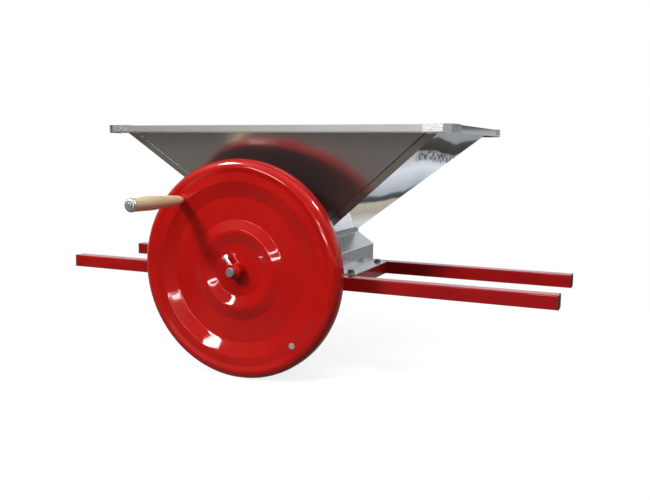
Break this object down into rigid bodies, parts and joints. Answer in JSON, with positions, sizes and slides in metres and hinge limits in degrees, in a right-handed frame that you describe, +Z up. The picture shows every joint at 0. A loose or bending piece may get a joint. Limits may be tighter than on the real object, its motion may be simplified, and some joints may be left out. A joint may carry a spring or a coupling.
{
  "type": "hand crank fruit crusher",
  "caption": "Hand-cranked fruit crusher: stainless hopper over two geared fluted rollers on a two-rail red frame, turned by a dished flywheel with a wooden grip.",
  "frame": {"origin": "plan centre of the frame, level with the underside of the rails, in the middle of the outlet", "axes": "+X along the rails, +Y away from the flywheel, +Z up out of the hopper"},
  "size_m": [1.208, 0.6918, 0.5522],
  "materials": {
    "red_frame_paint": "gloss",
    "red_wheel_paint": "gloss",
    "black_plastic": "satin",
    "galvanised_sheet": "satin",
    "stainless_sheet": "polished",
    "cap_steel": "polished",
    "dark_fastener": "satin",
    "zinc_fastener": "polished",
    "grey_casting": "as cast",
    "bronze": "machined",
    "bright_steel": "machined",
    "cast_aluminium": "cast and machined",
    "beech": "oiled"
  },
  "bodies": {
    "frame": {"front_rail": "red_frame_paint", "rear_rail": "red_frame_paint", "left_cross_member": "red_frame_paint", "right_cross_member": "red_frame_paint", "rail_end_caps": "black_plastic", "front_housing_plate": "galvanised_sheet", "rear_housing_plate": "galvanised_sheet", "left_housing_side": "galvanised_sheet", "right_housing_side": "galvanised_sheet", "housing_bolts": "dark_fastener", "housing_washers": "dark_fastener", "housing_nuts": "dark_fastener", "housing_rivets": "zinc_fastener", "hopper_front_panel": "stainless_sheet", "hopper_rear_panel": "stainless_sheet", "hopper_left_panel": "stainless_sheet", "hopper_right_panel": "stainless_sheet", "rim_cap_front_left": "cap_steel", "rim_cap_front_right": "cap_steel", "rim_cap_rear_left": "cap_steel", "rim_cap_rear_right": "cap_steel", "rim_cap_screws": "zinc_fastener", "throat_screws": "zinc_fastener", "throat_nuts": "zinc_fastener", "bearing_bolts": "dark_fastener", "bearing_nuts": "dark_fastener", "gear_cover": "galvanised_sheet", "gear_cover_screws": "zinc_fastener", "front_drive_block": "grey_casting", "rear_drive_block": "grey_casting", "front_idler_block": "grey_casting", "rear_idler_block": "grey_casting", "front_drive_bush": "bronze", "rear_drive_bush": "bronze", "front_idler_bush": "bronze", "rear_idler_bush": "bronze"},
    "flywheel_drive": {"drive_shaft": "bright_steel", "drive_roller": "cast_aluminium", "drive_roller_pin": "bright_steel", "drive_gear": "grey_casting", "drive_gear_screw": "zinc_fastener", "drive_collar": "bright_steel", "drive_collar_screw": "zinc_fastener", "flywheel_disc": "red_wheel_paint", "flywheel_hub": "red_wheel_paint", "hub_set_bolt": "zinc_fastener", "balance_rivet": "zinc_fastener", "handle_bolt": "zinc_fastener", "handle_nuts": "zinc_fastener", "handle_end_cap": "zinc_fastener"},
    "idler": {"idler_shaft": "bright_steel", "idler_roller": "cast_aluminium", "idler_roller_pin": "bright_steel", "idler_gear": "grey_casting", "idler_gear_screw": "zinc_fastener", "idler_collar": "bright_steel", "idler_collar_screw": "zinc_fastener"},
    "grip": {"handle_grip": "beech"}
  },
  "joints": [
    {"name": "flywheel_spin", "type": "hinge", "parent": "frame", "child": "flywheel_drive", "pos_m": [-0.053, 0, 0.047], "axis": [0, 1, 0], "continuous": true},
    {"name": "idler_spin", "type": "hinge", "parent": "frame", "child": "idler", "pos_m": [0.053, 0, 0.047], "axis": [0, 1, 0], "continuous": true},
    {"name": "grip_spin", "type": "hinge", "parent": "flywheel_drive", "child": "grip", "pos_m": [-0.18931, -0.35, 0.19472], "axis": [0, 1, 0], "continuous": true}
  ],
  "couplings": [
    {"joint": "idler_spin", "follows": "flywheel_spin", "ratio": -1}
  ]
}
